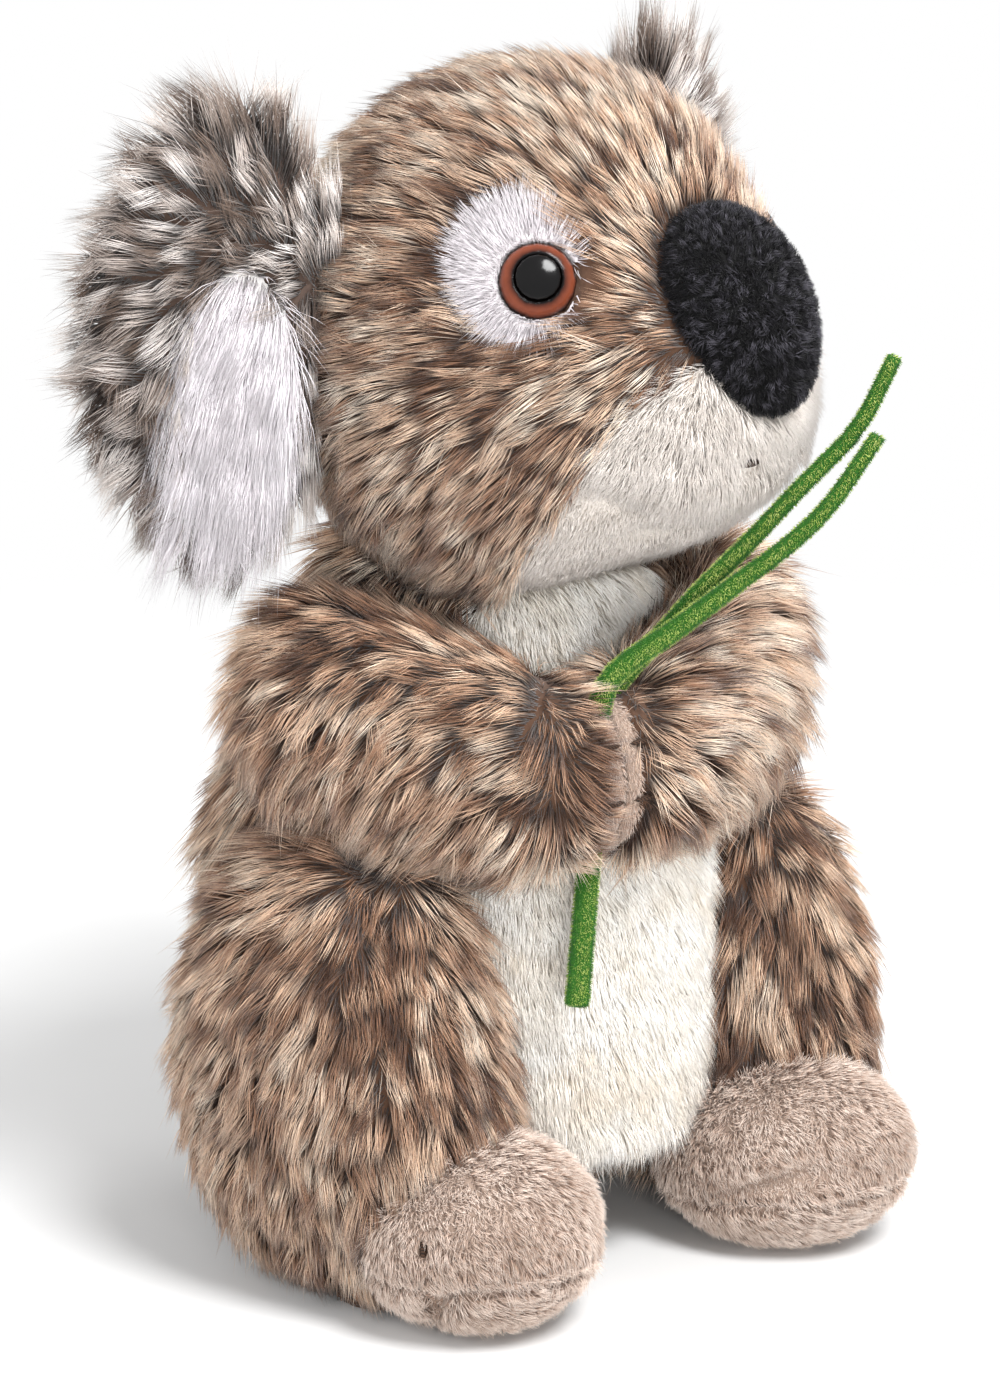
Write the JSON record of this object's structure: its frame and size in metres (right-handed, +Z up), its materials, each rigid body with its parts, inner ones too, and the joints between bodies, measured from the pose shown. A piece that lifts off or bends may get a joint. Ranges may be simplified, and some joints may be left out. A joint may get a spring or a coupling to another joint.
{
  "type": "plush koala",
  "caption": "Sitting plush koala with a turned head, shaggy ears, safety eyes and paws sewn together round a leafy sprig",
  "frame": {"origin": "middle of the flat seat under the rump", "axes": "+Z up, the body faces -Y, its left hand is towards +X"},
  "size_m": [0.1616, 0.1352, 0.2162],
  "materials": {
    "fur": "long mottled pile, matte",
    "ear_fur": "long shaggy pile, matte",
    "white_fur": "short white pile, matte",
    "foot_cloth": "short velvety pile, matte",
    "nose_cloth": "short black nap, matte",
    "thread": "spun sewing thread",
    "leaf_cloth": "ribbed velvety ribbon, matte",
    "iris": "polished, amber brown",
    "pupil": "polished black",
    "washer": "moulded, unpainted"
  },
  "bodies": {
    "torso": {"torso": "fur", "belly_panel": "white_fur"},
    "head": {"head": "fur", "muzzle_panel": "white_fur", "nose": "nose_cloth", "mouth_stitch": "thread", "eye_patch_right": "white_fur", "eye_right": "iris", "pupil_right": "pupil", "eye_washer_right": "washer", "eye_patch_left": "white_fur", "eye_left": "iris", "pupil_left": "pupil", "eye_washer_left": "washer"},
    "ear_right": {"ear_right": "ear_fur", "ear_lining_right": "white_fur"},
    "ear_left": {"ear_left": "ear_fur", "ear_lining_left": "white_fur"},
    "arms": {"leaf_long": "leaf_cloth", "leaf_short": "leaf_cloth", "arm_right": "fur", "palm_right": "foot_cloth", "finger_stitch_lower_right": "thread", "finger_stitch_upper_right": "thread", "arm_left": "fur", "palm_left": "foot_cloth", "finger_stitch_lower_left": "thread", "finger_stitch_upper_left": "thread"},
    "leg_right": {"leg_right": "fur", "foot_right": "foot_cloth", "sole_right": "foot_cloth", "toe_stitch_right": "thread"},
    "leg_left": {"leg_left": "fur", "foot_left": "foot_cloth", "sole_left": "foot_cloth", "toe_stitch_left": "thread"}
  },
  "joints": [
    {"name": "neck_turn", "type": "hinge", "parent": "torso", "child": "head", "pos_m": [0, -0.022, 0.14], "axis": [0, 0, 1], "range_deg": [-28, 5], "stiffness_Nm_per_rad": 0.05},
    {"name": "ear_right_flop", "type": "hinge", "parent": "head", "child": "ear_right", "pos_m": [-0.04033, -0.02793, 0.1807], "axis": [0, 0, 1], "range_deg": [-18, 18], "stiffness_Nm_per_rad": 0.01},
    {"name": "ear_left_flop", "type": "hinge", "parent": "head", "child": "ear_left", "pos_m": [0.03993, -0.01378, 0.1807], "axis": [0, 0, 1], "range_deg": [-18, 18], "stiffness_Nm_per_rad": 0.01},
    {"name": "arms_lift", "type": "hinge", "parent": "torso", "child": "arms", "pos_m": [0, -0.022, 0.111], "axis": [-1, 0, 0], "range_deg": [-2, 3], "stiffness_Nm_per_rad": 0.05},
    {"name": "leg_right_spread", "type": "hinge", "parent": "torso", "child": "leg_right", "pos_m": [-0.03, -0.006, 0], "axis": [0, 0, 1], "range_deg": [-14, 3], "stiffness_Nm_per_rad": 0.05},
    {"name": "leg_left_spread", "type": "hinge", "parent": "torso", "child": "leg_left", "pos_m": [0.03, -0.006, 0], "axis": [0, 0, 1], "range_deg": [-3, 14], "stiffness_Nm_per_rad": 0.05}
  ]
}
